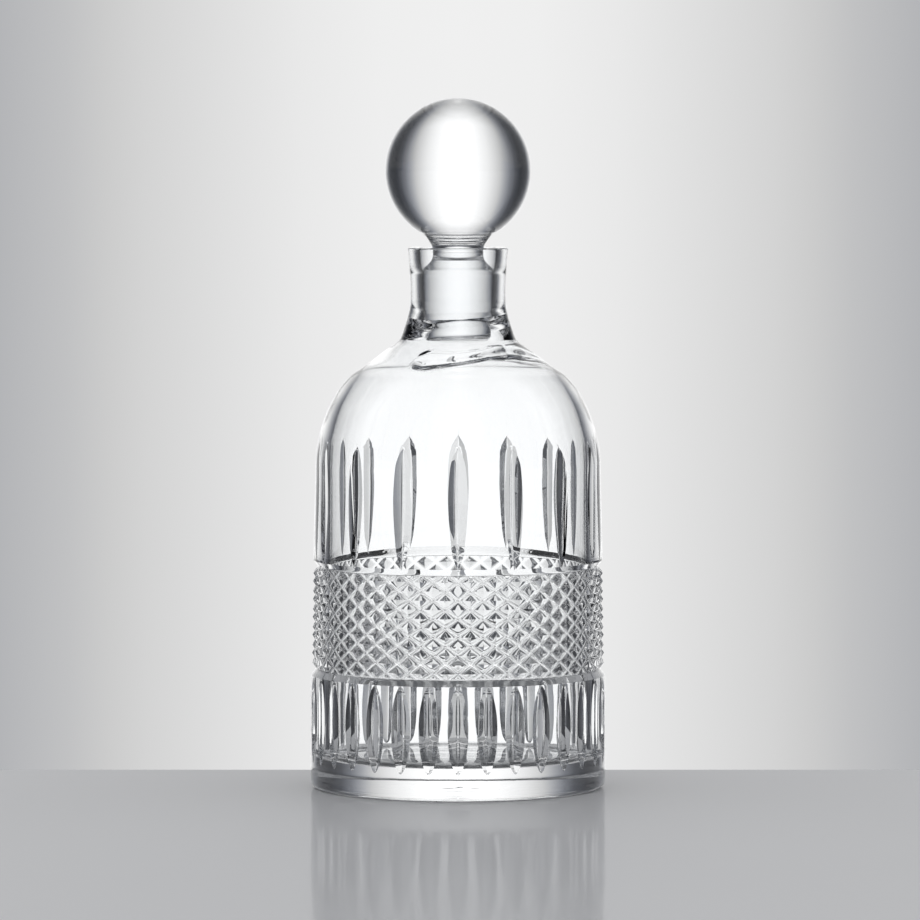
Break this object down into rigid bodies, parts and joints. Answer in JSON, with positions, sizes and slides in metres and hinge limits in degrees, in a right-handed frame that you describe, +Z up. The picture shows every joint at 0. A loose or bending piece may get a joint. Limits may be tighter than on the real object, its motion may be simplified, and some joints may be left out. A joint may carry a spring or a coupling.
{
  "type": "wine decanter",
  "caption": "Straight-sided cut glass decanter with upright wedge cuts, a band of diamonds, a short flared neck and a lift-out solid ball stopper.",
  "frame": {"origin": "centre of the resting ring, on the table", "axes": "+Z up along the decanter's axis; one tall cut and one short cut of each band face -Y"},
  "size_m": [0.12, 0.12, 0.2804],
  "materials": {
    "bottle_glass": "polished, clear",
    "stopper_glass": "polished, clear, ground on the plug"
  },
  "bodies": {
    "bottle": {"bottle": "bottle_glass"},
    "stopper": {"stopper": "stopper_glass"}
  },
  "joints": [
    {"name": "stopper_lift", "type": "slide", "parent": "bottle", "child": "stopper", "axis": [0, 0, 1], "range_m": [0, 0.08]}
  ]
}
